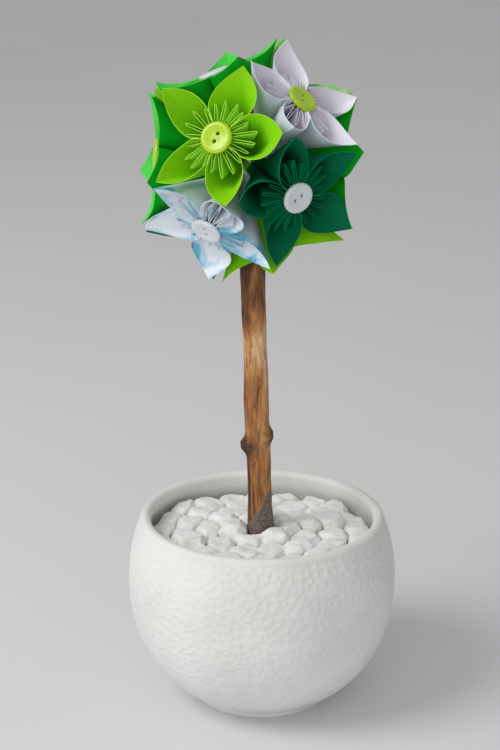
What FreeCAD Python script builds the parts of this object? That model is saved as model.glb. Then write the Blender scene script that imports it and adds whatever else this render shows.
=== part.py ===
import FreeCAD, Part
import math
import os
import random

# A kusudama ball of twelve folded paper flowers with buttons, on a branch that is
# planted in a round pot of white stones. Millimetres, +Z up. The origin is the middle
# of the pot's foot, on the surface that the pot stands on.

Vector = FreeCAD.Vector

# Folded paper
paper_side = 78.5
half_corner = 45.0
paper = 0.30
glue_gap = 0.03
petals = 5

# Petal section, in degrees of direction away from the flower's axis as seen from its apex
tip_angle = 39.0
tip_pull_out = 34.5
tip_pull_up = 16.5
valley_angle = 17.5
valley_pull = 4.5
flank_end_angle = 9.5
wall_steps = 9
wall_start = 2.0

# Crimped base of each petal, where the sixty of them meet in the middle of the ball
base_low = 1.5
base_high = 9.5
base_fill = 0.97

# Accordion pleats inside each petal
pleats = 4
pleat_side_angle = 24.5
pleat_middle_angle = 27.5
pleat_fold_width = 1.1
pleat_root_width = 0.85
pleat_depth = 13.0
pleat_slope = 0.15

# Pot
pot_height = 100.0
pot_radius = 69.5
pot_waist = pot_height * 0.645
pot_half_height = pot_height * 0.701
pot_power = 2.2
pot_wall = 5.2
pot_floor = 7.0
lip_height = 3.0
lip_start = pot_height - lip_height
lip_steps = 8
foot_height = 3.0
foot_radius = pot_radius * 0.53
foot_width = 4.8
foot_recess = 1.5
outline_steps = 16

# Plug that holds the branch, and the stones on it; the rings are shares of the room inside
bed_depth = 20.5
plug_top = pot_height - bed_depth
plug_clearance = 0.05
stone_gap = 0.35
stone_low = 8.5
stone_high = 16.5
stone_mound = 4.0
stone_top_tilt = 20.0
stone_shoulder = 0.45
stone_facets = 6
stone_seed = 191
stone_ring_shares = (0.221, 0.443, 0.673, 0.894)
stone_ring_counts = (6, 11, 16, 22)
stone_scatter = 0.07

# Branch
stem_depth = 45.5
stem_cover = 8.5
stem_bottom = plug_top - stem_depth
stem_ground = plug_top + stem_cover
stem_reach = 28.0
stem_ground_x = -0.5
stem_radius = 6.4
stem_flare = 0.7
stem_flare_height = 16.0
stem_clearance = 0.3
socket_clearance = 0.1
knot_radius = 3.8
knot_taper = 0.72
knot_rises = (49.0, 55.0)
knot_sides = (180.0, -10.0)
knot_stands = (3.4, 2.5)

# Ball
ball_rise = 204.9
ball_height = plug_top + ball_rise
ball_offset = -6.7
ball_depth = -0.6
apex_radius = 6.7
front_turn = -21.35
front_rise = 24.1
front_roll = 42.2

# Two-hole buttons
button_diameter = 15.5
button_thickness = 2.2
button_edge = 0.7
button_dish_diameter = 11.0
button_dish_depth = 0.4
button_hole_diameter = 1.7
button_hole_spacing = 3.9
button_seat_radius = apex_radius + paper_side * 0.48
button_clearance = 0.3


def direction(along, across):
    """A unit vector that leans away from +Z by the two angles, in degrees."""
    lean = math.radians(math.hypot(along, across))
    turn = math.atan2(across, along)
    return Vector(math.sin(lean) * math.cos(turn), math.sin(lean) * math.sin(turn), math.cos(lean))


def on_flank(angle):
    """The two angles of a point on the line where neighbouring petals are glued."""
    half_share = math.pi / petals
    return angle * math.cos(half_share), angle * math.sin(half_share)


def wall_point(share):
    """Half of the petal's section, from its tip to the valley, as a cubic curve."""
    ends = ((tip_angle, 0.0), (tip_pull_out, tip_pull_up),
            on_flank(valley_angle + valley_pull), on_flank(valley_angle))
    rest = 1.0 - share
    weights = (rest ** 3, 3 * rest * rest * share, 3 * rest * share * share, share ** 3)
    return tuple(sum(w * end[axis] for w, end in zip(weights, ends)) for axis in (0, 1))


def sheet_angle(share, steps=60):
    """Paper angle between the tip's ray and a point of the section, in degrees."""
    turned = 0.0
    last = direction(*wall_point(0.0))
    for step in range(1, steps + 1):
        here = direction(*wall_point(share * step / steps))
        turned += math.degrees(last.getAngle(here))
        last = here
    return turned


def rim_length(paper_angle):
    """Distance from the apex to the cut edge of the folded square."""
    edge = min(paper_angle, half_corner)
    return paper_side / 2 / math.cos(math.radians(half_corner - edge))


def mirrored(vector, side):
    return Vector(vector.x, vector.y * side, vector.z)


def petal_shift():
    return (paper / 2 + glue_gap) / math.sin(math.pi / petals)


def flat_face(points):
    return Part.Face(Part.makePolygon(points + [points[0]]))


def solid_from(faces):
    shell = Part.Shell(faces)
    shell.sewShape()
    solid = Part.Solid(shell)
    if solid.Volume < 0:
        solid.reverse()
    return solid


def fold_offsets(rays):
    """For each ray, the mitred step from the sheet's middle to one side, per unit of thickness."""
    normals = []
    for near, far in zip(rays, rays[1:]):
        normal = near.cross(far)
        normal.normalize()
        normals.append(normal)
    offsets = [normals[0]]
    for before, after in zip(normals, normals[1:]):
        offsets.append((before + after) * (1.0 / (1.0 + before.dot(after))))
    offsets.append(normals[-1])
    return offsets


def folded_strip(rays, rim_of, foot_of):
    """A sheet of constant thickness whose folds all run to the apex.

    rim_of and foot_of give the distance from the apex for a ray's number and its side step.
    """
    rows = []
    for reach_of in (rim_of, foot_of):
        for half in (paper / 2, -paper / 2):
            row = []
            for number, offset in enumerate(fold_offsets(rays)):
                shift = offset * half
                row.append(rays[number] * reach_of(number, shift) + shift)
            rows.append(row)
    rim_out, rim_in, foot_out, foot_in = rows
    faces = []
    for near in range(len(rays) - 1):
        far = near + 1
        faces.append(flat_face([rim_out[near], rim_out[far], foot_out[far], foot_out[near]]))
        faces.append(flat_face([rim_in[near], rim_in[far], foot_in[far], foot_in[near]]))
        for one_row, other_row in ((rim_out, rim_in), (foot_out, foot_in)):
            faces.append(flat_face([one_row[near], one_row[far], other_row[far]]))
            faces.append(flat_face([one_row[near], other_row[far], other_row[near]]))
    for end in (0, -1):
        faces.append(flat_face([rim_out[end], rim_in[end], foot_in[end], foot_out[end]]))
    return solid_from(faces)


def petal_wall():
    """The outer sheet of a petal: a cone with a creased tip and two glued flanks."""
    half_rays = [direction(*wall_point(number / wall_steps)) for number in range(wall_steps + 1)]
    half_rims = [rim_length(sheet_angle(number / wall_steps)) for number in range(wall_steps + 1)]
    half_rays.append(direction(*on_flank(flank_end_angle)))
    half_rims.append(rim_length(sheet_angle(1.0) + valley_angle - flank_end_angle))
    rays = [mirrored(ray, -1) for ray in half_rays[:0:-1]] + half_rays
    rims = half_rims[:0:-1] + half_rims
    return folded_strip(rays, lambda number, shift: rims[number], lambda number, shift: wall_start)


def pleat_rays():
    """The folded edges of the accordion, from one flank to the other."""
    pleat_share = 360.0 / petals / pleats
    top = button_seat_radius - apex_radius
    fold_half = math.degrees(pleat_fold_width / 2 / (top * math.tan(math.radians(pleat_side_angle))))
    root_half = math.degrees(pleat_root_width / 2 / (top * math.tan(math.radians(flank_end_angle))))
    start = 180.0 / petals
    bends = [(flank_end_angle, -start)]
    for number in range(pleats):
        middle = (number + 0.5) * pleat_share - start
        out = pleat_side_angle if number in (0, pleats - 1) else pleat_middle_angle
        bends += [(out, middle - fold_half), (out, middle + fold_half)]
        if number < pleats - 1:
            root = middle + pleat_share / 2
            bends += [(flank_end_angle, root - root_half), (flank_end_angle, root + root_half)]
    bends.append((flank_end_angle, start))
    return [direction(angle * math.cos(math.radians(turn)), angle * math.sin(math.radians(turn)))
            for angle, turn in bends]


def pleat_strip():
    """The accordion, cut off by a plane that falls away from the button."""
    rays = pleat_rays()
    top = button_seat_radius - apex_radius
    high_side = top * math.tan(math.radians(flank_end_angle)) * math.cos(math.pi / petals)

    def reach_to(slope, level):
        return lambda number, shift: ((level - slope * shift.x - shift.z)
                                      / (slope * rays[number].x + rays[number].z))

    return folded_strip(rays, reach_to(pleat_slope, top + pleat_slope * high_side),
                        reach_to(0.0, top - pleat_depth))


def petal_base():
    """The crimped inner end of the square: a wedge that narrows to the ball's middle."""
    half_share = math.pi / petals
    half_face = math.atan(2.0) / 2
    corner = math.tan(half_face) / math.cos(half_share)
    side = (math.sin(half_face) / math.cos(half_face))
    kite = ((0.0, 0.0), (side * math.cos(half_share), -side * math.sin(half_share)),
            (corner, 0.0), (side * math.cos(half_share), side * math.sin(half_share)))
    middle = sum(point[0] for point in kite) / len(kite)
    rings = []
    for height in (base_low, base_high):
        rings.append([Vector(height * (middle + (x - middle) * base_fill), height * y * base_fill,
                             height - apex_radius) for x, y in kite])
    low, high = rings
    faces = [flat_face(low), flat_face(high)]
    for number in range(len(kite)):
        after = (number + 1) % len(kite)
        faces.append(flat_face([low[number], low[after], high[after], high[number]]))
    return solid_from(faces)


def petal():
    """One folded square: its wall, its pleats and its crimped base are the same sheet."""
    folded = petal_wall().fuse(pleat_strip())
    folded.translate(Vector(petal_shift(), 0, 0))
    seat = Part.makeCylinder(button_diameter / 2 + button_clearance, paper_side,
                             Vector(0, 0, button_seat_radius - apex_radius))
    folded = folded.cut(seat).fuse(petal_base())
    return folded.Solids[0]


def button():
    """A round button with a shallow dish and two holes, its underside at z = 0."""
    outer = button_diameter / 2
    body = Part.makeCylinder(outer, button_thickness)
    rims = [edge for edge in body.Edges if len(edge.Vertexes) == 1]
    body = body.makeFillet(button_edge, rims)
    dish_floor = button_thickness - button_dish_depth
    dish = Part.makeCone(button_dish_diameter / 2 - button_dish_depth, button_dish_diameter / 2,
                         button_dish_depth, Vector(0, 0, dish_floor))
    body = body.cut(dish)
    for side in (1, -1):
        hole = Part.makeCylinder(button_hole_diameter / 2, button_thickness,
                                 Vector(side * button_hole_spacing / 2, 0, 0))
        body = body.cut(hole)
    return body.Solids[0]


def ball_centre():
    return Vector(ball_offset, ball_depth, ball_height)


def flower_axes():
    """The twelve directions of an icosahedron: one in front, its ring, and their opposites."""
    turn = math.radians(front_turn)
    rise = math.radians(front_rise)
    front = Vector(math.sin(turn) * math.cos(rise), -math.cos(turn) * math.cos(rise), math.sin(rise))
    right = Vector(0, 0, 1).cross(front)
    right.normalize()
    up = front.cross(right)
    lean = math.atan(2.0)
    ring = []
    for number in range(petals):
        roll = math.radians(front_roll + 360.0 / petals * number)
        around = right * math.cos(roll) + up * math.sin(roll)
        ring.append(front * math.cos(lean) + around * math.sin(lean))
    near = [front] + ring
    return near + [axis * -1 for axis in near]


def flower_frame(axes, number):
    """Places a flower: its local z leaves the ball and its local x runs to a petal's tip."""
    axis = axes[number]
    beside = [other for other in axes if 0.1 < other.dot(axis) < 0.9]
    first = beside[0]
    second = [other for other in beside[1:] if other.dot(first) > 0.1][0]
    corner = axis + first + second
    along = corner - axis * corner.dot(axis)
    along.normalize()
    across = axis.cross(along)
    apex = ball_centre() + axis * apex_radius
    return FreeCAD.Placement(FreeCAD.Matrix(
        along.x, across.x, axis.x, apex.x,
        along.y, across.y, axis.y, apex.y,
        along.z, across.z, axis.z, apex.z,
        0, 0, 0, 1))


def placed(shape, placement):
    copy = shape.copy()
    copy.Placement = placement.multiply(copy.Placement)
    return copy


def stem_line():
    """The branch's straight middle line, from its foot in the plug to its end in the ball."""
    ground = Vector(stem_ground_x, 0, stem_ground)
    rise = ball_centre() - ground
    rise.normalize()
    top = ball_centre() - rise * stem_reach
    bottom = ground + rise * ((stem_bottom - stem_ground) / rise.z)
    return bottom, ground, top, rise


def stem(extra=0.0):
    """The branch, or with extra the room that it needs in what it passes through."""
    bottom, ground, top, rise = stem_line()
    length = (top - bottom).Length
    ground_share = (ground - bottom).Length / length
    flare_share = ground_share + stem_flare_height / length
    wires = []
    for share, radius in ((0.0, stem_radius + stem_flare), (ground_share, stem_radius + stem_flare),
                          (flare_share, stem_radius), (1.0, stem_radius)):
        middle = bottom + (top - bottom) * share
        wires.append(Part.Wire(Part.makeCircle(radius + extra, middle, rise)))
    return Part.makeLoft(wires, True, True)


def branch():
    bottom, ground, top, rise = stem_line()
    body = stem()
    for knot_rise, side, stand in zip(knot_rises, knot_sides, knot_stands):
        middle = ground + rise * (knot_rise / rise.z)
        out = Vector(math.cos(math.radians(side)), math.sin(math.radians(side)), 0)
        knot = Part.makeCone(knot_radius, knot_radius * knot_taper, stem_radius + stand, middle, out)
        body = body.fuse(knot)
    return body.removeSplitter().Solids[0]


def line_chain(points):
    return [Part.LineSegment(near, far).toShape() for near, far in zip(points, points[1:])]


def pot_radius_at(height, inset=0.0):
    """Half width of the pot's rounded body at a height, or of its inside with an inset."""
    share = abs(height - pot_waist) / (pot_half_height - inset)
    return (pot_radius - inset) * (1.0 - share ** pot_power) ** (1.0 / pot_power)


def pot_curve(low, high, inset=0.0):
    heights = [low + (high - low) * number / outline_steps for number in range(outline_steps + 1)]
    return [Vector(pot_radius_at(height, inset), 0, height) for height in heights]


def revolved(edges):
    return Part.Face(Part.Wire(edges)).revolve(Vector(0, 0, 0), Vector(0, 0, 1), 360)


def pot():
    outside = pot_curve(foot_height, lip_start)
    inside = pot_curve(pot_floor, lip_start, pot_wall)
    lip_middle = (outside[-1].x + inside[-1].x) / 2
    lip_half = (outside[-1].x - inside[-1].x) / 2
    lip = []
    for number in range(1, lip_steps):
        turn = math.pi * number / lip_steps
        lip.append(Vector(lip_middle - lip_half * math.cos(turn), 0,
                          lip_start + (pot_height - lip_start) * math.sin(turn)))
    foot_inner = foot_radius - foot_width
    ring = [Vector(foot_radius, 0, 0), Vector(foot_inner, 0, 0), Vector(foot_inner, 0, foot_recess),
            Vector(0, 0, foot_recess), Vector(0, 0, pot_floor), inside[0]]
    return revolved(line_chain(outside[:1] + ring + inside[1:] + lip + outside[::-1])).Solids[0]


def plug():
    """The set filler that fills the pot to just under the stones and grips the branch."""
    low = Vector(0, 0, pot_floor + plug_clearance)
    side = []
    inside = pot_curve(pot_floor, lip_start, pot_wall)
    for near, far in zip(inside, inside[1:]):
        for height in (low.z, near.z, plug_top):
            if near.z <= height < far.z and low.z <= height <= plug_top:
                share = (height - near.z) / (far.z - near.z)
                reach = near.x + (far.x - near.x) * share - plug_clearance
                if not side or height > side[-1].z:
                    side.append(Vector(reach, 0, height))
    block = revolved(line_chain([low] + side + [Vector(0, 0, plug_top), low]))
    return block.cut(stem(socket_clearance)).Solids[0]


def clipped(polygon, along, across, limit):
    """The part of a convex outline where x * along + y * across is at most the limit."""
    kept = []
    for near, far in zip(polygon, polygon[1:] + polygon[:1]):
        near_over = near[0] * along + near[1] * across - limit
        far_over = far[0] * along + far[1] * across - limit
        if near_over <= 0:
            kept.append(near)
        if near_over * far_over < 0:
            share = near_over / (near_over - far_over)
            kept.append((near[0] + (far[0] - near[0]) * share, near[1] + (far[1] - near[1]) * share))
    return kept


def stone_room():
    """Half width of the room for stones at the top of the bed."""
    return pot_radius_at(plug_top + stone_high, pot_wall) - stone_gap


def stone_sites(rng):
    sites = []
    for ring, (share, count) in enumerate(zip(stone_ring_shares, stone_ring_counts)):
        for number in range(count):
            turn = 2 * math.pi * (number + 0.5 * ring) / count
            reach = stone_room() * (share + rng.uniform(-stone_scatter, stone_scatter))
            slide = rng.uniform(-stone_scatter, stone_scatter) / share
            sites.append((reach * math.cos(turn + slide), reach * math.sin(turn + slide)))
    return sites


def stone_cell(site, sites):
    """The outline that one stone has to itself between its neighbours, the pot and the branch."""
    reach = stone_room()
    sides = 24
    cell = [(2 * reach * x, 2 * reach * y) for x, y in ((1, 1), (-1, 1), (-1, -1), (1, -1))]
    for number in range(sides):
        turn = 2 * math.pi * number / sides
        cell = clipped(cell, math.cos(turn), math.sin(turn), reach * math.cos(math.pi / sides))
    for other in sites:
        if other == site:
            continue
        gap = (other[0] - site[0], other[1] - site[1])
        size = math.hypot(*gap)
        along, across = gap[0] / size, gap[1] / size
        half = (site[0] + other[0]) / 2 * along + (site[1] + other[1]) / 2 * across
        cell = clipped(cell, along, across, half - stone_gap / 2)
    away = (site[0] - stem_ground_x, site[1])
    size = math.hypot(*away)
    along, across = -away[0] / size, -away[1] / size
    keep_off = stem_radius + stem_flare + stem_clearance
    return clipped(cell, along, across, stem_ground_x * along - keep_off)


def under_plane(shape, point, normal, size):
    """The part of a shape on the inner side of a plane."""
    block = Part.makeBox(size, size, size, Vector(-size / 2, -size / 2, -size))
    block.Placement = FreeCAD.Placement(point, FreeCAD.Rotation(Vector(0, 0, 1), normal))
    return shape.common(block)


def stone(cell, site, room, rng):
    """A broken chip: the cell's prism under a tilted top, its upper edges knocked off all round."""
    inner_share = 1.0 - min(1.0, math.hypot(*site) / (stone_room() * stone_ring_shares[-1]))
    height = rng.uniform(stone_low, stone_high - stone_mound) + stone_mound * inner_share
    middle = Vector(sum(x for x, y in cell) / len(cell), sum(y for x, y in cell) / len(cell),
                    plug_top + height * stone_shoulder)
    chip = flat_face([Vector(x, y, plug_top) for x, y in cell]).extrude(Vector(0, 0, height))
    size = 8 * height
    start = rng.uniform(0, 360)
    for number in range(stone_facets + 1):
        turn = math.radians(start + 360.0 / stone_facets * number + rng.uniform(-15, 15))
        lean = math.radians(rng.uniform(38, 62))
        kept = rng.uniform(0.72, 0.84)
        if number == stone_facets:
            lean = math.radians(rng.uniform(0.3, 1.0) * stone_top_tilt)
            kept = 0.9
        normal = Vector(math.cos(turn) * math.sin(lean), math.sin(turn) * math.sin(lean), math.cos(lean))
        side = max((x - middle.x) * math.cos(turn) + (y - middle.y) * math.sin(turn) for x, y in cell)
        reach = (side * math.sin(lean) + height * (1.0 - stone_shoulder) * math.cos(lean)) * kept
        chip = under_plane(chip, middle + normal * reach, normal, size)
    if chip.BoundBox.intersect(room.BoundBox):
        chip = chip.cut(room)
    return max(chip.Solids, key=lambda piece: piece.Volume)


def stones():
    rng = random.Random(stone_seed)
    room = stem(stem_clearance)
    sites = stone_sites(rng)
    rings = []
    start = 0
    for count in stone_ring_counts:
        group = [stone(stone_cell(site, sites), site, room, rng)
                 for site in sites[start:start + count]]
        rings.append(Part.makeCompound(group))
        start += count
    return rings


# Each flower's name and the turn of its button's holes, in the order of flower_axes
flower_names = (("lime_front", 175), ("white_upper", 80), ("green_top", 80), ("green_left", 10),
                ("blue_wash", 150), ("dark_green", 106), ("white_back", 20), ("dark_green_back", 75),
                ("lime_bottom", 120), ("green_right", 95), ("pale_wash_back", 50), ("lime_back", 140))


def make_flowers():
    axes = flower_axes()
    one_petal = petal()
    one_button = button()
    room = stem(stem_clearance)
    shapes = {}
    for number, (name, hole_turn) in enumerate(flower_names):
        frame = flower_frame(axes, number)
        group = []
        for count in range(petals):
            spin = FreeCAD.Placement(Vector(), FreeCAD.Rotation(Vector(0, 0, 1), 360.0 / petals * count))
            leaf = placed(one_petal, frame.multiply(spin))
            if leaf.BoundBox.intersect(room.BoundBox) and leaf.common(room).Volume > 0:
                leaf = max(leaf.cut(room).Solids, key=lambda piece: piece.Volume)
            group.append(leaf)
        shapes["flower_" + name] = Part.makeCompound(group)
        seat = FreeCAD.Placement(Vector(0, 0, button_seat_radius - apex_radius),
                                 FreeCAD.Rotation(Vector(0, 0, 1), hole_turn))
        shapes["button_" + name] = placed(one_button, frame.multiply(seat))
    return shapes


def main():
    shapes = make_flowers()
    shapes["branch_stem"] = branch()
    shapes["pot"] = pot()
    shapes["filler_plug"] = plug()
    for ring, group in zip(("inner", "second", "third", "outer"), stones()):
        shapes["stones_" + ring] = group
    os.makedirs("parts", exist_ok=True)
    for name, shape in shapes.items():
        shape.exportStep("parts/" + name + ".step")
        print(name, len(shape.Solids), shape.isValid(), round(shape.Volume, 1), len(shape.Faces))


main()
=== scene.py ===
import math
import random

import bmesh
import bpy
import numpy as np
from mathutils import Matrix, Quaternion, Vector, geometry, noise


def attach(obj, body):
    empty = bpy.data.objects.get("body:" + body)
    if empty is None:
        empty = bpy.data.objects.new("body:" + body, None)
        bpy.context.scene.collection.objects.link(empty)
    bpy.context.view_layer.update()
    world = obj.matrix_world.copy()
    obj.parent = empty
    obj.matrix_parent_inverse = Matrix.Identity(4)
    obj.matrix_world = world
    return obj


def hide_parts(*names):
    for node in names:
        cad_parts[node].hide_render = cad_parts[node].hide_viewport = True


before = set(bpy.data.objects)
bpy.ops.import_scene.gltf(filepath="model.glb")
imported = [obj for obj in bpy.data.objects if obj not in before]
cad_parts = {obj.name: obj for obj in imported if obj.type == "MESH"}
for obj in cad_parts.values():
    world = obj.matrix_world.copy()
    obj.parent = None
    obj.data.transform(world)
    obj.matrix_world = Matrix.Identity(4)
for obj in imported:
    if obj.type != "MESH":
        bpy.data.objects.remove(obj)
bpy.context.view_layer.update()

MM = 0.001

# Folded paper, in millimetres and degrees. The sheets are a little smaller and thinner than in the solids,
# so that their leaning tips stay inside the solids' box.
PAPER_SIDE = 78.38
PAPER = 0.26
GLUE_SHIFT = 0.31
PETALS = 5
TIP_ANGLE = 39.0
TIP_PULL_OUT = 34.5
TIP_PULL_UP = 16.5
VALLEY_ANGLE = 17.5
VALLEY_PULL = 4.5
HALF_CORNER = 45.0
WALL_CENTRE = 0.55
FLANK_END = 9.5
APEX_RADIUS = 6.7
SEAT_RADIUS = 44.38
PLEATS = 4
PLEAT_SIDE, PLEAT_MIDDLE = 24.3, 27.4
PLEAT_FOLD = 1.1
PLEAT_ROOT = 0.85
PLEAT_DEPTH = 13.0
PLEAT_SLOPE = 0.15
PLEAT_SWAY, PLEAT_STRETCH = 1.6, 0.7
BASE_LOW, BASE_HIGH, BASE_FILL = 1.5, 9.5, 0.97

# Two-hole buttons
BUTTON_RADIUS = 7.75
BUTTON_THICKNESS = 2.2
BUTTON_ROUNDING = 1.5
BUTTON_DISH = 0.45
BUTTON_MIDDLE = 2.6
BUTTON_EDGE_HIGH, BUTTON_EDGE_LOW = 1.1, 0.7
HOLE_RADIUS = 0.85
HOLE_MOUTH = 1.08
HOLE_SPACING = 3.9

# Ball
BALL_CENTRE = Vector((-6.7, -0.6, 284.4))
FRONT_TURN = -21.35
FRONT_RISE = 24.1
FRONT_ROLL = 42.2

# Branch
STEM_GROUND = Vector((-0.5, 0.0, 88.0))
STEM_BOTTOM = 34.0
STEM_REACH = 28.0
STEM_RADIUS = 6.4
STEM_FLARE = 0.7
STEM_FLARE_HEIGHT = 16.0
KNOTS = ((137.0, 180.0, 3.6), (143.0, -10.0, 2.6))
KNOT_WIDTH = 3.6
KNOT_EYE_WIDTH, KNOT_EYE_DEPTH = 1.3, 1.1
BARK_LIMIT = 3.2

# Pot
POT_HEIGHT = 100.0
POT_RADIUS = 69.5
POT_WAIST = 64.5
POT_HALF_HEIGHT = 70.1
POT_POWER = 2.2
POT_WALL = 5.2
POT_FLOOR = 7.0
LIP_START = 97.0
FOOT_HEIGHT = 3.0
FOOT_RADIUS = 36.8
FOOT_WIDTH = 4.8
FOOT_RECESS = 1.5
NET_WIDE, NET_HIGH = 5.2, 3.7
NET_LINE = 0.46
NET_RELIEF = 0.34
NET_SCATTER = 0.42

# Stones
STONE_VOXEL = 0.8
STONE_BUMPS, STONE_GRAIN, STONE_SHRINK = 0.9, 0.28, 0.25

LAMP_TARGET = (0.0, 0.0, 0.2)


class Nodes:
    """Short calls for building one material's node tree."""

    def __init__(self, name, rough, specular):
        self.material = bpy.data.materials.new(name)
        self.material.use_nodes = True
        self.tree = self.material.node_tree
        self.shader = self.tree.nodes["Principled BSDF"]
        self.shader.inputs["Roughness"].default_value = rough
        self.shader.inputs["Specular IOR Level"].default_value = specular
        self.place = self.add("ShaderNodeTexCoord").outputs["Object"]

    def add(self, kind, **settings):
        node = self.tree.nodes.new(kind)
        for name, value in settings.items():
            setattr(node, name, value)
        return node

    def link(self, source, target):
        self.tree.links.new(source, target)

    def noise(self, scale, detail, rough, distortion=0.0, place=None):
        node = self.add("ShaderNodeTexNoise")
        node.inputs["Scale"].default_value = scale
        node.inputs["Detail"].default_value = detail
        node.inputs["Roughness"].default_value = rough
        node.inputs["Distortion"].default_value = distortion
        self.link(place or self.place, node.inputs["Vector"])
        return node.outputs["Fac"]

    def stretched(self, factors):
        node = self.add("ShaderNodeMapping")
        node.inputs["Scale"].default_value = factors
        self.link(self.place, node.inputs["Vector"])
        return node.outputs["Vector"]

    def distance_from(self, point):
        node = self.add("ShaderNodeVectorMath", operation="DISTANCE")
        node.inputs[1].default_value = point
        self.link(self.place, node.inputs[0])
        return node.outputs["Value"]

    def axes(self):
        node = self.add("ShaderNodeSeparateXYZ")
        self.link(self.place, node.inputs["Vector"])
        return node.outputs["X"], node.outputs["Y"], node.outputs["Z"]

    def near(self, point, full, none, waver, by):
        """1 within the distance full of a point, fading to 0 at none, and wavering by a noise."""
        away = self.distance_from(point)
        away = self.math("ADD", away, self.math("MULTIPLY", self.math("SUBTRACT", by, 0.5), waver))
        return self.fade(away, none, full)

    def fade(self, value, start, end):
        """0 where the value is at start, 1 where it is at end, and clamped."""
        node = self.add("ShaderNodeMapRange")
        node.inputs["From Min"].default_value = start
        node.inputs["From Max"].default_value = end
        self.link(value, node.inputs["Value"])
        return node.outputs["Result"]

    def multiply(self, first, second, factor=1.0):
        node = self.add("ShaderNodeMix", data_type="RGBA", blend_type="MULTIPLY")
        node.inputs["Factor"].default_value = factor
        self.link(first, node.inputs["A"])
        self.link(second, node.inputs["B"])
        return node.outputs["Result"]

    def math(self, operation, first, second):
        node = self.add("ShaderNodeMath", operation=operation)
        for socket, value in zip(node.inputs, (first, second)):
            if isinstance(value, (int, float)):
                socket.default_value = value
            else:
                self.link(value, socket)
        return node.outputs["Value"]

    def ramp(self, factor, stops):
        node = self.add("ShaderNodeValToRGB")
        elements = node.color_ramp.elements
        while len(elements) < len(stops):
            elements.new(0.5)
        for element, (place, colour) in zip(elements, stops):
            element.position = place
            element.color = (*colour, 1.0)
        self.link(factor, node.inputs["Fac"])
        return node.outputs["Color"]

    def mix(self, factor, first, second):
        node = self.add("ShaderNodeMix", data_type="RGBA")
        for socket, value in ((node.inputs["Factor"], factor), (node.inputs["A"], first),
                              (node.inputs["B"], second)):
            if isinstance(value, tuple):
                socket.default_value = (*value, 1.0)
            elif isinstance(value, float):
                socket.default_value = value
            else:
                self.link(value, socket)
        return node.outputs["Result"]

    def colour(self, source):
        self.link(source, self.shader.inputs["Base Color"])

    def bump(self, height, distance, strength):
        node = self.add("ShaderNodeBump")
        node.inputs["Distance"].default_value = distance
        node.inputs["Strength"].default_value = strength
        self.link(height, node.inputs["Height"])
        self.link(node.outputs["Normal"], self.shader.inputs["Normal"])


def linear(red, green, blue):
    """A colour given as 0 to 255 on the screen."""
    def one(value):
        value /= 255.0
        return value / 12.92 if value <= 0.04045 else ((value + 0.055) / 1.055) ** 2.4
    return one(red), one(green), one(blue)


def paper_material(name, base, fade, mottle=0.35):
    """Dyed paper: faint clouds of colour and a felt of short fibres."""
    nodes = Nodes(name, 0.75, 0.10)
    clouds = nodes.noise(55.0, 3.0, 0.55)
    fibre = nodes.noise(2600.0, 2.0, 0.7)
    blend = nodes.math("MULTIPLY", clouds, mottle * 2)
    tint = nodes.mix(blend, base, fade)
    grain = nodes.ramp(fibre, [(0.30, (0.90, 0.90, 0.90)), (0.62, (1.0, 1.0, 1.0))])
    nodes.colour(nodes.multiply(tint, grain))
    nodes.bump(fibre, 0.00006, 0.5)
    return nodes.material


def wash_material(name, paper, wash, deep, spread):
    """White paper with a watercolour wash that gathers along the cut edge of the petal."""
    nodes = Nodes(name, 0.72, 0.28)
    rim = nodes.add("ShaderNodeAttribute", attribute_name="rim").outputs["Fac"]
    edge = nodes.fade(rim, 0.86, 1.0)
    blots = nodes.noise(62.0, 3.0, 0.55, 0.8)
    fine = nodes.noise(300.0, 3.0, 0.6, 0.5)
    amount = nodes.math("MULTIPLY", nodes.math("SUBTRACT", blots, 0.5), 2.2)
    amount = nodes.math("ADD", amount, nodes.math("MULTIPLY", nodes.math("SUBTRACT", fine, 0.5), 0.35))
    amount = nodes.math("ADD", amount, nodes.math("MULTIPLY", edge, 0.46))
    amount = nodes.math("ADD", amount, spread)
    between = tuple(p * 0.55 + w * 0.45 for p, w in zip(paper, wash))
    tint = nodes.ramp(amount, [(0.22, paper), (0.46, between), (0.68, wash), (0.98, deep)])
    nodes.colour(tint)
    fibre = nodes.noise(2600.0, 2.0, 0.7)
    nodes.bump(fibre, 0.00006, 0.5)
    return nodes.material


def button_material(name, base, dark, rough, coat):
    nodes = Nodes(name, rough, 0.5)
    swirl = nodes.noise(160.0, 2.0, 0.5, 1.5)
    nodes.colour(nodes.mix(nodes.math("MULTIPLY", swirl, 0.6), base, dark))
    fine = nodes.noise(1200.0, 2.0, 0.5)
    nodes.bump(fine, 0.00001, 0.3)
    nodes.shader.inputs["Coat Weight"].default_value = coat
    nodes.shader.inputs["Coat Roughness"].default_value = 0.12
    return nodes.material


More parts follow.
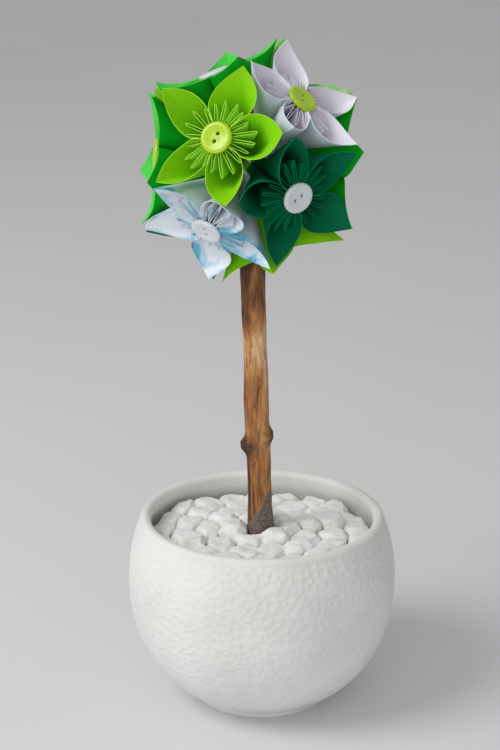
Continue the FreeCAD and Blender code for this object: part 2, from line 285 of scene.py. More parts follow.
def branch_material():
    """A peeled branch: tan wood with brown streaks, dark round its knots, darker towards its top as painted
    shadow of the ball, and bark left at its foot.
    """
    nodes = Nodes("branch_wood_bark", 0.68, 0.35)
    along = nodes.stretched((1.0, 1.0, 0.16))
    broad = nodes.noise(85.0, 4.0, 0.62, 1.0, along)
    streaks = nodes.noise(360.0, 5.0, 0.7, 0.6, along)
    ragged = nodes.noise(210.0, 4.0, 0.7, 0.5)
    x, y, z = nodes.axes()
    side = nodes.math("ADD", x, nodes.math("MULTIPLY", nodes.math("SUBTRACT", z, 0.088), 0.0316))
    shade = nodes.math("ADD", broad, nodes.math("MULTIPLY", nodes.fade(side, 0.001, -0.0075), -0.17))
    # Painted shadow of the ball: the wood darkens from 190 mm up to 236 mm, where the stem goes into the
    # ball.
    shade = nodes.math("ADD", shade, nodes.math("MULTIPLY", nodes.fade(z, 0.190, 0.236), -0.22))
    pale = nodes.near((0.0005, -0.0065, 0.190), 0.005, 0.022, 0.010, ragged)
    shade = nodes.math("ADD", shade, nodes.math("MULTIPLY", pale, 0.30))
    wood = nodes.ramp(shade, [(0.22, linear(66, 42, 28)), (0.34, linear(118, 76, 44)),
                              (0.46, linear(170, 118, 70)), (0.60, linear(206, 156, 104)),
                              (0.78, linear(232, 198, 158))])
    lines = nodes.ramp(streaks, [(0.34, linear(120, 84, 60)), (0.46, linear(222, 200, 176)),
                                 (0.56, (1.0, 1.0, 1.0))])
    wood = nodes.multiply(wood, lines, 0.75)
    stain = linear(62, 40, 28)
    for height, turn, _ in KNOTS:
        reach = STEM_RADIUS + 1.5
        spot = (reach * math.cos(math.radians(turn)) * MM, -2.0 * MM, height * MM)
        dark = nodes.near(spot, 0.0035, 0.0085, 0.009, ragged)
        wood = nodes.mix(nodes.math("MULTIPLY", dark, 0.9), wood, stain)
    level = nodes.math("ADD", z, nodes.math("MULTIPLY", x, -1.54))
    level = nodes.math("ADD", level, nodes.math("MULTIPLY", nodes.math("SUBTRACT", ragged, 0.5), 0.016))
    bark_at = nodes.fade(level, 0.1069, 0.1057)
    flakes = nodes.noise(520.0, 4.0, 0.7)
    bark = nodes.ramp(flakes, [(0.35, linear(82, 70, 64)), (0.68, linear(140, 126, 116))])
    nodes.colour(nodes.mix(bark_at, wood, bark))
    height = nodes.math("ADD", nodes.math("MULTIPLY", streaks, 0.7), nodes.math("MULTIPLY", bark_at, 0.6))
    nodes.bump(height, 0.0005, 0.8)
    return nodes.material


def pot_material():
    nodes = Nodes("pot_ceramic_matte", 0.62, 0.35)
    clouds = nodes.noise(30.0, 3.0, 0.5)
    nodes.colour(nodes.ramp(clouds, [(0.35, linear(222, 222, 219)), (0.65, linear(232, 232, 229))]))
    grain = nodes.noise(1500.0, 3.0, 0.6)
    nodes.bump(grain, 0.00008, 0.5)
    return nodes.material


def stone_material():
    nodes = Nodes("white_stone_chips", 0.66, 0.4)
    veins = nodes.noise(70.0, 5.0, 0.65, 1.0)
    colour = nodes.ramp(veins, [(0.28, linear(206, 204, 200)), (0.42, linear(234, 233, 231)),
                                (0.62, linear(243, 243, 242))])
    nodes.colour(colour)
    grain = nodes.noise(900.0, 5.0, 0.7)
    nodes.bump(grain, 0.0002, 0.7)
    return nodes.material


def plaster_material():
    nodes = Nodes("plaster_set", 0.85, 0.3)
    clouds = nodes.noise(120.0, 4.0, 0.6)
    nodes.colour(nodes.ramp(clouds, [(0.3, linear(196, 192, 184)), (0.7, linear(216, 213, 206))]))
    nodes.bump(nodes.noise(700.0, 4.0, 0.6), 0.0003, 0.6)
    return nodes.material


def floor_material():
    nodes = Nodes("floor_plain", 0.9, 0.2)
    clouds = nodes.noise(3.0, 2.0, 0.5)
    nodes.colour(nodes.ramp(clouds, [(0.3, (0.74, 0.74, 0.75)), (0.7, (0.76, 0.76, 0.77))]))
    return nodes.material


def new_piece(name, vertices, faces, materials, face_slots=None, rims=None, sharp_angle=40.0):
    mesh = bpy.data.meshes.new(name)
    mesh.from_pydata([tuple(v) for v in vertices], [], faces)
    if rims is not None:
        mesh.attributes.new("rim", "FLOAT", "POINT").data.foreach_set("value", rims)
    for material in materials:
        mesh.materials.append(material)
    piece = bpy.data.objects.new(name, mesh)
    bpy.context.scene.collection.objects.link(piece)
    if face_slots is not None:
        mesh.polygons.foreach_set("material_index", face_slots)
    bm = bmesh.new()
    bm.from_mesh(mesh)
    bmesh.ops.remove_doubles(bm, verts=bm.verts, dist=1e-7)
    bmesh.ops.recalc_face_normals(bm, faces=bm.faces)
    for face in bm.faces:
        face.smooth = True
    for edge in bm.edges:
        if len(edge.link_faces) == 2:
            edge.smooth = edge.calc_face_angle(0.0) < math.radians(sharp_angle)
    bm.to_mesh(mesh)
    bm.free()
    return piece


def direction(along, across):
    lean = math.radians(math.hypot(along, across))
    turn = math.atan2(across, along)
    return Vector((math.sin(lean) * math.cos(turn), math.sin(lean) * math.sin(turn), math.cos(lean)))


def on_flank(angle, side):
    half = math.pi / PETALS
    return angle * math.cos(half), side * angle * math.sin(half)


class Pose:
    """How far one petal departs from the ideal fold, in degrees.

    Lean and turn move its tip, wider spreads its sides and roll curls its rim.
    """

    def __init__(self, lean, turn, wider, roll):
        self.lean = lean
        self.turn = turn
        self.wider = wider
        self.roll = roll


def section_point(share, side, pose):
    tip = TIP_ANGLE + pose.lean
    ends = ((tip, pose.turn), (TIP_PULL_OUT + pose.lean, pose.turn + side * (TIP_PULL_UP + pose.wider)),
            on_flank(VALLEY_ANGLE + VALLEY_PULL, side), on_flank(VALLEY_ANGLE, side))
    rest = 1.0 - share
    weights = (rest ** 3, 3 * rest * rest * share, 3 * rest * share * share, share ** 3)
    return tuple(sum(w * end[axis] for w, end in zip(weights, ends)) for axis in (0, 1))


def edge_reach(turned):
    """How far the square's edge is from its middle, at so many degrees from its corner."""
    return PAPER_SIDE / 2 / math.cos(math.radians(HALF_CORNER - min(turned, HALF_CORNER)))


def half_wall(side, pose, steps):
    """Rays and rim distances from the petal's tip to the end of one glued flank."""
    rays, reaches = [], []
    turned = 0.0
    for number in range(steps + 1):
        ray = direction(*section_point(number / steps, side, pose))
        if rays:
            turned += math.degrees(rays[-1].angle(ray))
        rays.append(ray)
        reaches.append(edge_reach(turned))
    for number in range(1, 4):
        angle = VALLEY_ANGLE + (FLANK_END - VALLEY_ANGLE) * number / 3
        turned += (VALLEY_ANGLE - FLANK_END) / 3
        rays.append(direction(*on_flank(angle, side)))
        reaches.append(edge_reach(turned))
    return rays, reaches


def thick_sheet(rows, half, slots):
    """A closed sheet round a grid of points. The slots are for its outer skin, inner skin and cut edge."""
    grid = np.array([[tuple(p) for p in row] for row in rows])
    along = np.gradient(grid, axis=0)
    across = np.gradient(grid, axis=1)
    normal = np.cross(along, across)
    normal /= np.linalg.norm(normal, axis=2, keepdims=True) + 1e-12
    outer, inner = grid + normal * half, grid - normal * half
    count_r, count_c = grid.shape[:2]
    vertices = [Vector(p) for p in outer.reshape(-1, 3)] + [Vector(p) for p in inner.reshape(-1, 3)]
    step = count_r * count_c
    faces, kinds = [], []

    def at(row, column, skin):
        return skin * step + row * count_c + column

    for row in range(count_r - 1):
        for column in range(count_c - 1):
            quad = (at(row, column, 0), at(row, column + 1, 0),
                    at(row + 1, column + 1, 0), at(row + 1, column, 0))
            faces.append(quad)
            kinds.append(slots[0])
            faces.append(tuple(v + step for v in reversed(quad)))
            kinds.append(slots[1])
    border = [(0, c) for c in range(count_c)] + [(r, count_c - 1) for r in range(1, count_r)]
    border += [(count_r - 1, c) for c in range(count_c - 2, -1, -1)]
    border += [(r, 0) for r in range(count_r - 2, 0, -1)]
    for near, far in zip(border, border[1:] + border[:1]):
        faces.append((at(*near, 0), at(*near, 1), at(*far, 1), at(*far, 0)))
        kinds.append(slots[2])
    return vertices, faces, kinds


WALL_STEPS = 18
WALL_ROWS = (1.0, 0.985, 0.95, 0.9, 0.83, 0.74, 0.62, 0.45, 0.25, 0.06)


def wall_rows(pose):
    """The wall's middle surface: one row for each share of the way from the apex to the cut edge."""
    left_rays, left_reaches = half_wall(-1, pose, WALL_STEPS)
    right_rays, right_reaches = half_wall(1, pose, WALL_STEPS)
    rays = left_rays[:0:-1] + right_rays
    reaches = left_reaches[:0:-1] + right_reaches
    tip = len(left_rays) - 1
    centre = direction(TIP_ANGLE * WALL_CENTRE, 0.0)
    seat = SEAT_RADIUS - APEX_RADIUS
    rows = []
    for share in WALL_ROWS:
        row = []
        for number, (ray, reach) in enumerate(zip(rays, reaches)):
            side = min(1.0, abs(number - tip) / WALL_STEPS)
            curl = pose.roll * math.sin(math.pi * side) * max(0.0, share - 0.5) ** 2 * 4
            bent = ray.copy()
            bent.rotate(Quaternion(centre.cross(ray).normalized(), math.radians(curl)))
            point = bent * reach * share
            if number in (0, len(rays) - 1) and point.z > seat:
                point *= seat / point.z
            row.append(point)
        rows.append(row)
    return rows


def rounded(corners, cuts):
    """An open polyline with its inner corners cut off again and again."""
    line = [Vector(p) for p in corners]
    for _ in range(cuts):
        smoother = [line[0]]
        for near, far in zip(line, line[1:]):
            smoother += [near.lerp(far, 0.22), near.lerp(far, 0.78)]
        line = smoother + [line[-1]]
    return line


PLEAT_ROWS = (1.0, 0.9, 0.5, 0.0)


def pleat_rows(wave):
    share = 360.0 / PETALS / PLEATS
    top = SEAT_RADIUS - APEX_RADIUS
    fold_half = math.degrees(PLEAT_FOLD / 2 / (top * math.tan(math.radians(PLEAT_SIDE))))
    root_half = math.degrees(PLEAT_ROOT / 2 / (top * math.tan(math.radians(FLANK_END))))
    start = 180.0 / PETALS
    bends = [(FLANK_END, -start)]
    for number in range(PLEATS):
        middle = (number + 0.5) * share - start + wave[number] * PLEAT_SWAY
        out = PLEAT_SIDE if number in (0, PLEATS - 1) else PLEAT_MIDDLE
        out += wave[number + PLEATS] * PLEAT_STRETCH
        bends += [(out, middle - fold_half), (out, middle + fold_half)]
        if number < PLEATS - 1:
            root = (number + 1.0) * share - start
            bends += [(FLANK_END, root - root_half), (FLANK_END, root + root_half)]
    bends.append((FLANK_END, start))
    flat = []
    for angle, turn in bends:
        ray = direction(angle * math.cos(math.radians(turn)), angle * math.sin(math.radians(turn)))
        flat.append(ray / ray.z)
    flat = rounded(flat, 2)
    high_side = top * math.tan(math.radians(FLANK_END)) * math.cos(math.pi / PETALS)
    rows = []
    for share in PLEAT_ROWS:
        row = []
        for ray in flat:
            high = (top + PLEAT_SLOPE * high_side) / (PLEAT_SLOPE * ray.x + 1.0)
            low = top - PLEAT_DEPTH
            row.append(ray * (low + (high - low) * share))
        rows.append(row)
    return rows


def base_wedge():
    half_share = math.pi / PETALS
    side = math.tan(math.atan(2.0) / 2)
    corner = side / math.cos(half_share)
    kite = ((0.0, 0.0), (side * math.cos(half_share), -side * math.sin(half_share)),
            (corner, 0.0), (side * math.cos(half_share), side * math.sin(half_share)))
    middle = sum(p[0] for p in kite) / 4
    points = []
    for height in (BASE_LOW, BASE_HIGH):
        points += [Vector((height * (middle + (x - middle) * BASE_FILL), height * y * BASE_FILL,
                           height - APEX_RADIUS)) for x, y in kite]
    faces = [(0, 1, 2, 3), (7, 6, 5, 4)]
    faces += [(n, n + 4, (n + 1) % 4 + 4, (n + 1) % 4) for n in range(4)]
    return points, faces


def flower_axes():
    turn, rise = math.radians(FRONT_TURN), math.radians(FRONT_RISE)
    front = Vector((math.sin(turn) * math.cos(rise), -math.cos(turn) * math.cos(rise), math.sin(rise)))
    right = Vector((0, 0, 1)).cross(front).normalized()
    up = front.cross(right)
    lean = math.atan(2.0)
    ring = []
    for number in range(PETALS):
        roll = math.radians(FRONT_ROLL + 360.0 / PETALS * number)
        ring.append(front * math.cos(lean) + (right * math.cos(roll) + up * math.sin(roll)) * math.sin(lean))
    near = [front] + ring
    return near + [-axis for axis in near]


def flower_matrix(axes, number):
    axis = axes[number]
    beside = [other for other in axes if 0.1 < other.dot(axis) < 0.9]
    second = [other for other in beside[1:] if other.dot(beside[0]) > 0.1][0]
    corner = axis + beside[0] + second
    along = (corner - axis * corner.dot(axis)).normalized()
    across = axis.cross(along)
    place = BALL_CENTRE + axis * APEX_RADIUS
    return Matrix(((along.x, across.x, axis.x, place.x), (along.y, across.y, axis.y, place.y),
                   (along.z, across.z, axis.z, place.z), (0, 0, 0, 1)))


def flower(name, matrix, poses, materials, rng):
    """Five petals, each with its wall, pleats and crimped base, as one object."""
    vertices, faces, kinds, rims = [], [], [], []

    def add(points, polygons, slots, place, shares):
        start = len(vertices)
        rims.extend(shares)
        vertices.extend((place @ Vector(p)) * MM for p in points)
        faces.extend(tuple(v + start for v in polygon) for polygon in polygons)
        kinds.extend(slots)

    shift = Matrix.Translation((GLUE_SHIFT, 0, 0))
    for number, pose in enumerate(poses):
        place = matrix @ Matrix.Rotation(math.radians(360.0 / PETALS * number), 4, "Z") @ shift
        walls = wall_rows(pose)
        shares = [share for share in WALL_ROWS for _ in walls[0]] * 2
        add(*thick_sheet(walls, PAPER / 2, (0, 1, 2)), place, shares)
        pleats = pleat_rows([rng.uniform(-1, 1) for _ in range(2 * PLEATS)])
        shares = [share for share in PLEAT_ROWS for _ in pleats[0]] * 2
        add(*thick_sheet(pleats, PAPER / 2, (2, 2, 2)), place, shares)
        points, polygons = base_wedge()
        add(points, polygons, [0] * len(polygons), place, [0.0] * len(points))
    return new_piece(name, vertices, faces, materials, kinds, rims)


def button_top(x, y):
    """Height of the button's upper face: a soft dish that rises to the rounded edge."""
    rise = (math.hypot(x, y) - BUTTON_MIDDLE) / (BUTTON_RADIUS - BUTTON_ROUNDING - BUTTON_MIDDLE)
    share = min(1.0, max(0.0, rise))
    return BUTTON_THICKNESS - BUTTON_DISH * (1.0 - share * share * (3.0 - 2.0 * share))


def circle(centre, radius, count):
    return [(centre + radius * math.cos(2 * math.pi * n / count), radius * math.sin(2 * math.pi * n / count))
            for n in range(count)]


def from_hole(x, y):
    """Distance to the middle of the nearer hole."""
    return min(math.hypot(x - side * HOLE_SPACING / 2, y) for side in (-1, 1))


def button_mesh():
    """One button with its underside at z = 0, as points and faces."""
    around, mouth_count = 64, 20
    flat = BUTTON_RADIUS - BUTTON_ROUNDING
    outer = circle(0.0, flat, around)
    mouths = [circle(side * HOLE_SPACING / 2, HOLE_MOUTH, mouth_count) for side in (-1, 1)]
    spread = [(0.0, 0.0)]
    for ring in range(1, 12):
        radius = flat * ring / 12
        spread += circle(0.0, radius, max(8, round(around * ring / 12)))
    clear = [p for p in spread if from_hole(*p) > HOLE_MOUTH + 0.18]
    flat_points = outer + mouths[0] + mouths[1] + clear
    loops = [list(range(around))]
    loops += [list(range(around + n * mouth_count, around + (n + 1) * mouth_count)) for n in (0, 1)]
    edges = [(near, far) for loop in loops for near, far in zip(loop, loop[1:] + loop[:1])]
    made, _, triangles, *_ = geometry.delaunay_2d_cdt([Vector(p) for p in flat_points], edges, [], 0, 1e-6)
    kept = []
    for triangle in triangles:
        x = sum(made[n].x for n in triangle) / 3
        y = sum(made[n].y for n in triangle) / 3
        if from_hole(x, y) > HOLE_MOUTH * 0.98:
            kept.append(tuple(triangle))
    count = len(made)
    points = [Vector((p.x, p.y, button_top(p.x, p.y))) for p in made]
    points += [Vector((p.x, p.y, 0.0)) for p in made]
    faces = kept + [tuple(n + count for n in reversed(triangle)) for triangle in kept]

    def bridge(rings):
        for upper, lower in zip(rings, rings[1:]):
            for n in range(len(upper)):
                after = (n + 1) % len(upper)
                faces.append((upper[n], lower[n], lower[after], upper[after]))

    def ring_of(flat_ring, height):
        start = len(points)
        points.extend(Vector((x, y, height)) for x, y in flat_ring)
        return list(range(start, len(points)))

    edge_rings = [loops[0]]
    for number in range(1, 7):
        turn = math.pi / 2 * number / 6
        edge_rings.append(ring_of(circle(0.0, flat + BUTTON_ROUNDING * math.sin(turn), around),
                                  BUTTON_THICKNESS - BUTTON_EDGE_HIGH * (1.0 - math.cos(turn))))
    for number in range(1, 4):
        turn = math.pi / 2 * number / 4
        radius = BUTTON_RADIUS - BUTTON_EDGE_LOW * (1.0 - math.cos(turn))
        edge_rings.append(ring_of(circle(0.0, radius, around), BUTTON_EDGE_LOW * (1.0 - math.sin(turn))))
    bridge(edge_rings + [[n + count for n in loops[0]]])
    for side, loop in zip((-1, 1), loops[1:]):
        bore = circle(side * HOLE_SPACING / 2, HOLE_RADIUS, mouth_count)
        middle = circle(side * HOLE_SPACING / 2, (HOLE_RADIUS + HOLE_MOUTH) / 2, mouth_count)
        low = BUTTON_THICKNESS - BUTTON_DISH
        bridge([loop, ring_of(middle, low - 0.07), ring_of(bore, low - 0.28), ring_of(bore, 0.2),
                [n + count for n in loop]])
    return points, faces


def button_piece(name, matrix, hole_turn, material):
    place = matrix @ Matrix.Translation((0, 0, SEAT_RADIUS - APEX_RADIUS))
    place = place @ Matrix.Rotation(math.radians(hole_turn), 4, "Z")
    points, faces = button_mesh()
    return new_piece(name, [(place @ p) * MM for p in points], faces, [material], sharp_angle=35.0)


def tube_faces(bands, around):
    """Faces of the bands between rings of points."""
    faces = []
    for ring in range(bands):
        for number in range(around):
            after = (number + 1) % around
            faces.append((ring * around + number, ring * around + after,
                          (ring + 1) * around + after, (ring + 1) * around + number))
    return faces


def branch_piece(material):
    rise = (BALL_CENTRE - STEM_GROUND).normalized()
    top = BALL_CENTRE - rise * STEM_REACH
    bottom = STEM_GROUND + rise * ((STEM_BOTTOM - STEM_GROUND.z) / rise.z)
    side = Vector((1, 0, 0)) - rise * rise.x
    side.normalize()
    back = rise.cross(side)
    rings, around = 300, 72
    vertices = []
    knot_spots = []
    for height, turn, stand in KNOTS:
        middle = bottom + rise * ((height - bottom.z) / rise.z)
        out = Vector((math.cos(math.radians(turn)), math.sin(math.radians(turn)), 0))
        knot_spots.append((middle + out * STEM_RADIUS, out, stand))
    length = (top - bottom).length
    ground = (STEM_GROUND - bottom).length
    for ring in range(rings + 1):
        along = length * ring / rings
        above = max(0.0, along - ground)
        radius = STEM_RADIUS + STEM_FLARE * max(0.0, 1.0 - above / STEM_FLARE_HEIGHT)
        middle = bottom + rise * along
        for number in range(around):
            turn = 2 * math.pi * number / around
            out = side * math.cos(turn) + back * math.sin(turn)
            point = middle + out * radius
            swell = noise.noise(Vector((point.x * 0.09, point.y * 0.09, point.z * 0.035))) * 0.6 - 0.2
            ridges = noise.noise(Vector((math.cos(turn) * 2.3, math.sin(turn) * 2.3, along * 0.02 + 7.0)))
            fine = noise.noise(Vector((point.x * 0.9, point.y * 0.9, point.z * 0.16 + 3.0)))
            lift = 0.0
            for spot, knot_out, stand in knot_spots:
                gap = (point - spot).length
                bulge = stand * math.exp(-(gap / KNOT_WIDTH) ** 2)
                bulge -= KNOT_EYE_DEPTH * math.exp(-(gap / KNOT_EYE_WIDTH) ** 2)
                lift += bulge if out.dot(knot_out) > 0 else 0.0
            grow = swell + ridges * 0.5 + fine * 0.22 + lift
            vertices.append((point + out * min(grow, BARK_LIMIT)) * MM)
    faces = tube_faces(rings, around)
    faces.append(tuple(range(around))[::-1])
    faces.append(tuple(rings * around + n for n in range(around)))
    return new_piece("branch_bark", vertices, faces, [material], sharp_angle=60.0)


def pot_radius_at(height, inset=0.0):
    share = abs(height - POT_WAIST) / (POT_HALF_HEIGHT - inset)
    return (POT_RADIUS - inset) * (1.0 - share ** POT_POWER) ** (1.0 / POT_POWER)


def net_sites(rng):
    """Scattered points on the pot's outside, about one net cell apart."""
    sites = []
    height = FOOT_HEIGHT - 4.0
    while height < POT_HEIGHT + 4.0:
        radius = pot_radius_at(min(max(height, 4.0), 98.0))
        count = max(8, round(2 * math.pi * radius / NET_WIDE))
        for number in range(count):
            shift = rng.uniform(-NET_SCATTER, NET_SCATTER)
            turn = 2 * math.pi * (number + shift + 0.5 * (len(sites) % 2)) / count
            level = height + rng.uniform(-NET_SCATTER, NET_SCATTER) * NET_HIGH
            reach = pot_radius_at(min(max(level, 3.0), 99.0))
            sites.append((reach * math.cos(turn), reach * math.sin(turn), level))
        height += NET_HIGH * 0.9
    return np.array(sites)


def net_heights(points, sites):
    """How high the raised net stands at each point, from 0 in a cell to 1 on a line of the net."""
    batch = 4000
    out = np.empty(len(points))
    for start in range(0, len(points), batch):
        part = points[start:start + batch]
        gaps = np.linalg.norm(part[:, None, :] - sites[None, :, :], axis=2)
        nearest = np.partition(gaps, 1, axis=1)[:, :2]
        ridge = nearest[:, 1] - nearest[:, 0]
        out[start:start + batch] = np.exp(-(ridge / (2 * NET_LINE)) ** 2)
    return out


def pot_piece(material, rng):
    """The pot with its raised net, turned from the same outline as the solid."""
    outline = [(0.0, POT_FLOOR)]
    outline += [(pot_radius_at(POT_FLOOR, POT_WALL) * share, POT_FLOOR) for share in (0.5, 0.97)]
    steps = 12
    for number in range(steps + 1):
        height = POT_FLOOR + (LIP_START - POT_FLOOR) * number / steps
        outline.append((pot_radius_at(height, POT_WALL), height))
    inner, outer = outline[-1][0], pot_radius_at(LIP_START)
    for number in range(1, 10):
        turn = math.pi * number / 10
        outline.append(((outer + inner) / 2 - (outer - inner) / 2 * math.cos(turn),
                        LIP_START + (POT_HEIGHT - LIP_START) * math.sin(turn)))
    net_from = len(outline)
    steps = 150
    for number in range(steps + 1):
        height = LIP_START + (FOOT_HEIGHT - LIP_START) * number / steps
        outline.append((pot_radius_at(height), height))
    net_to = len(outline)
    foot_inner = FOOT_RADIUS - FOOT_WIDTH
    outline += [(FOOT_RADIUS, 0.5), (FOOT_RADIUS - 0.5, 0.0), (foot_inner + 0.5, 0.0), (foot_inner, 0.5),
                (foot_inner, FOOT_RECESS), (foot_inner * 0.5, FOOT_RECESS), (0.0, FOOT_RECESS)]
    around = 520
    turns = np.arange(around) * 2 * math.pi / around
    rings = []
    for radius, height in outline:
        rings.append(np.stack([radius * np.cos(turns), radius * np.sin(turns),
                               np.full(around, height)], axis=1))
    body = np.array(rings)
    part = body[net_from:net_to].reshape(-1, 3)
    lift = net_heights(part, net_sites(rng))
    level = part[:, 2]
    fade = np.clip((LIP_START + 0.3 - level) / 1.5, 0, 1) * np.clip((level - FOOT_HEIGHT) / 3.0, 0, 1)
    drop = NET_RELIEF * (1.0 - lift) * fade
    outward = part.copy()
    outward[:, 2] = (part[:, 2] - POT_WAIST) * (POT_RADIUS / POT_HALF_HEIGHT) ** 2
    outward /= np.linalg.norm(outward, axis=1, keepdims=True)
    body[net_from:net_to] = (part - outward * drop[:, None]).reshape(-1, around, 3)
    vertices = [Vector(p) * MM for p in body.reshape(-1, 3)]
    faces = tube_faces(len(outline) - 1, around)
    return new_piece("pot_relief", vertices, faces, [material], sharp_angle=50.0)


def stone_piece(node_name, material, seed):
    """The chips of one ring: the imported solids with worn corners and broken, uneven faces."""
    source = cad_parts[node_name]
    mesh = source.data.copy()
    piece = bpy.data.objects.new(node_name + "_chips", mesh)
    bpy.context.scene.collection.objects.link(piece)
    bm = bmesh.new()
    bm.from_mesh(mesh)
    bmesh.ops.remove_doubles(bm, verts=bm.verts, dist=2e-5)
    bm.to_mesh(mesh)
    bm.free()
    remesh = piece.modifiers.new("grain", "REMESH")
    remesh.mode = "VOXEL"
    remesh.voxel_size = STONE_VOXEL * MM
    wear = piece.modifiers.new("wear", "SMOOTH")
    wear.factor = 0.5
    wear.iterations = 2
    depsgraph = bpy.context.evaluated_depsgraph_get()
    worn = bpy.data.meshes.new_from_object(piece.evaluated_get(depsgraph))
    piece.modifiers.clear()
    piece.data = worn
    worn.materials.clear()
    worn.materials.append(material)
    bm = bmesh.new()
    bm.from_mesh(worn)
    bm.normal_update()
    moves = []
    for vertex in bm.verts:
        p = vertex.co / MM + Vector((seed * 13.7, 0, 0))
        broad = noise.noise(p * 0.16)
        fine = noise.noise(p * 0.7)
        moves.append(vertex.normal * (broad * STONE_BUMPS + fine * STONE_GRAIN - STONE_SHRINK) * MM)
    for vertex, move in zip(bm.verts, moves):
        vertex.co += move
    for face in bm.faces:
        face.smooth = True
    bm.to_mesh(worn)
    bm.free()
    return piece


axes = flower_axes()
rng = random.Random(5)

# Lit and shaded copies of each paper: the back copies are darker as painted shade, and the edge copies are
# lighter as painted highlight.
lime = paper_material("paper_lime_face", linear(134, 214, 6), linear(158, 228, 34))
lime_back = paper_material("paper_lime_shaded_back", linear(122, 204, 4), linear(144, 218, 24))
lime_highlit_edge = paper_material("paper_lime_highlit_edge", linear(176, 234, 70), linear(188, 240, 92), 0.2)
green = paper_material("paper_green_face", linear(70, 208, 74), linear(108, 222, 100))
green_back = paper_material("paper_green_shaded_back", linear(0, 172, 26), linear(22, 190, 44))
green_highlit_edge = paper_material("paper_green_highlit_edge", linear(104, 222, 90), linear(122, 230, 106), 0.2)
dark = paper_material("paper_dark_green_face", linear(0, 104, 68), linear(0, 120, 80))
dark_highlit_edge = paper_material("paper_dark_green_highlit_edge", linear(0, 132, 88), linear(4, 144, 98), 0.2)
white = paper_material("paper_white_face", linear(244, 242, 250), linear(236, 232, 246))
white_back = paper_material("paper_white_shaded_back", linear(226, 236, 246), linear(218, 230, 244))
teal = (linear(120, 196, 218), linear(48, 150, 182))
blue_face = wash_material("paper_blue_wash_face", linear(242, 246, 252), *teal, 0.01)
blue_back = wash_material("paper_blue_wash_back", linear(228, 238, 247), *teal, 0.12)
pale_face = wash_material("paper_pale_wash_face", linear(236, 244, 228), linear(150, 224, 110),
                          linear(92, 200, 60), 0.30)

# Papers outside, inside and at the cut edge. The outside papers are darker, cooler copies of the inside
# ones: painted shade on the outer walls between the flowers. The cut-edge papers, which also cover the
# pleats, are lighter copies: painted highlight.
LIME = (lime_back, lime, lime_highlit_edge)
WHITE = (white_back, white, white)
GREEN = (green_back, green, green_highlit_edge)
DARK = (dark, dark, dark_highlit_edge)

# Each flower's name, paper slot, papers, button slot and the turn of its button's holes
FLOWERS = (
    ("lime_front", "paper_lime", LIME, "button_lime", 175),
    ("white_upper", "paper_white", WHITE, "button_lime", 80),
    ("green_top", "paper_green", GREEN, "button_white", 80),
    ("green_left", "paper_green", GREEN, "button_lime", 10),
    ("blue_wash", "paper_blue_wash", (blue_back, blue_face, blue_face), "button_pearl", 150),
    ("dark_green", "paper_dark_green", DARK, "button_white", 106),
    ("white_back", "paper_white", WHITE, "button_lime", 20),
    ("dark_green_back", "paper_dark_green", DARK, "button_white", 75),
    ("lime_bottom", "paper_lime", LIME, "button_white", 120),
    ("green_right", "paper_green", GREEN, "button_brown", 95),
    ("pale_wash_back", "paper_pale_wash", (pale_face, pale_face, pale_face), "button_lime", 50),
    ("lime_back", "paper_lime", LIME, "button_white", 140),
)

# Petals whose tips the photo shows away from their ideal places, as lean and turn
SHIFTED = {
    "lime_front": {0: (-0.5, -3.0), 1: (1.0, -3.5), 2: (-1.0, 1.5), 3: (-1.0, -3.0)},
    "white_upper": {0: (-2.5, 0.5), 2: (-1.5, -2.0), 3: (2.0, -3.5), 4: (-0.5, -1.0)},
    "green_top": {2: (-1.5, -1.5), 3: (-2.0, 0.0)},
    "green_left": {1: (-1.0, -1.5), 2: (-2.0, 1.5)},
    "blue_wash": {0: (0.0, -0.5), 1: (0.0, -2.0), 2: (-2.0, -2.5), 3: (1.0, 2.5)},
    "pale_wash_back": {1: (1.5, 0.0)},
    "dark_green": {0: (-0.5, -1.5), 1: (0.5, -3.5), 2: (-2.5, -1.0), 3: (-1.0, 3.0), 4: (-2.0, 3.0)},
}

BUTTON_LOOKS = {
    "button_lime": button_material(
        "button_lime_gloss", linear(178, 212, 22), linear(160, 198, 12), 0.30, 0.25),
    "button_white": button_material(
        "button_white_satin", linear(216, 222, 222), linear(204, 211, 214), 0.42, 0.1),
    "button_pearl": button_material(
        "button_pearl_gloss", linear(226, 231, 236), linear(200, 208, 218), 0.26, 0.4),
    "button_brown": button_material(
        "button_brown_gloss", linear(150, 96, 44), linear(110, 66, 30), 0.30, 0.3),
}

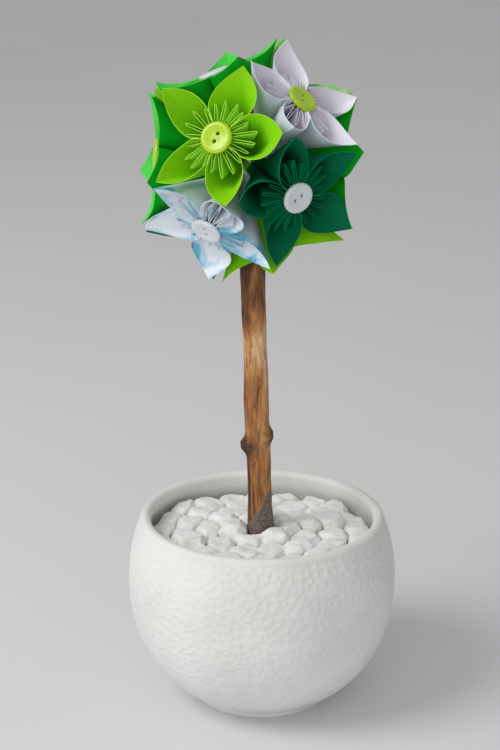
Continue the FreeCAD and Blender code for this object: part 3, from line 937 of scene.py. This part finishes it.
for number, (name, paper_slot, papers, button_slot, hole_turn) in enumerate(FLOWERS):
    matrix = flower_matrix(axes, number)
    poses = []
    for petal in range(PETALS):
        lean, turn = SHIFTED.get(name, {}).get(petal, (-1.0 + rng.uniform(-0.5, 0.5), rng.uniform(-1, 1)))
        poses.append(Pose(lean, turn, rng.uniform(-1.0, 0.6), rng.uniform(-3, 3)))
    petals = flower("petals_" + name, matrix, poses, papers, rng)
    disc = button_piece("disc_" + name, matrix, hole_turn, BUTTON_LOOKS[button_slot])
    for piece, node_name, slot_name in ((petals, "flower_" + name, paper_slot),
                                        (disc, "button_" + name, button_slot)):
        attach(piece, "root")
        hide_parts(node_name)

branch = branch_piece(branch_material())
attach(branch, "root")
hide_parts("branch_stem")

pot = pot_piece(pot_material(), random.Random(21))
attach(pot, "root")
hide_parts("pot")

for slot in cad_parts["filler_plug"].material_slots:
    slot.material = plaster_material()

stone_look = stone_material()
for seed, ring in enumerate(("inner", "second", "third", "outer")):
    chips = stone_piece("stones_" + ring, stone_look, seed)
    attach(chips, "root")
    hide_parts("stones_" + ring)


floor_mesh = bpy.data.meshes.new("floor")
floor_mesh.from_pydata([(-12, -12, 0), (12, -12, 0), (12, 12, 0), (-12, 12, 0)], [], [(0, 1, 2, 3)])
floor_mesh.materials.append(floor_material())
floor = bpy.data.objects.new("floor", floor_mesh)
bpy.context.scene.collection.objects.link(floor)


def lamp(name, place, size, power):
    data = bpy.data.lights.new(name, "AREA")
    data.shape = "DISK"
    data.size = size
    data.energy = power
    lamp_object = bpy.data.objects.new(name, data)
    lamp_object.location = place
    aim = Vector(LAMP_TARGET) - Vector(place)
    lamp_object.rotation_euler = aim.to_track_quat("-Z", "Y").to_euler()
    bpy.context.scene.collection.objects.link(lamp_object)


lamp("key_light", (-1.1, -0.5, 1.35), 0.9, 13.5)
lamp("front_light", (-0.5, -1.6, 0.45), 1.2, 6.5)

world = bpy.data.worlds.new("studio")
bpy.context.scene.world = world
world.use_nodes = True
world.node_tree.nodes["Background"].inputs["Color"].default_value = (1.0, 1.0, 1.0, 1.0)
world.node_tree.nodes["Background"].inputs["Strength"].default_value = 0.46

camera_data = bpy.data.cameras.new("camera")
camera_data.sensor_fit = "VERTICAL"
camera_data.sensor_height = 36.0
camera_data.lens = 86.4
camera = bpy.data.objects.new("camera", camera_data)
camera.location = (-0.0062, -0.866, 0.456)
camera.rotation_euler = (math.radians(72.0), 0.0, 0.0)
bpy.context.scene.collection.objects.link(camera)
bpy.context.scene.camera = camera
bpy.context.scene.view_settings.view_transform = "Standard"
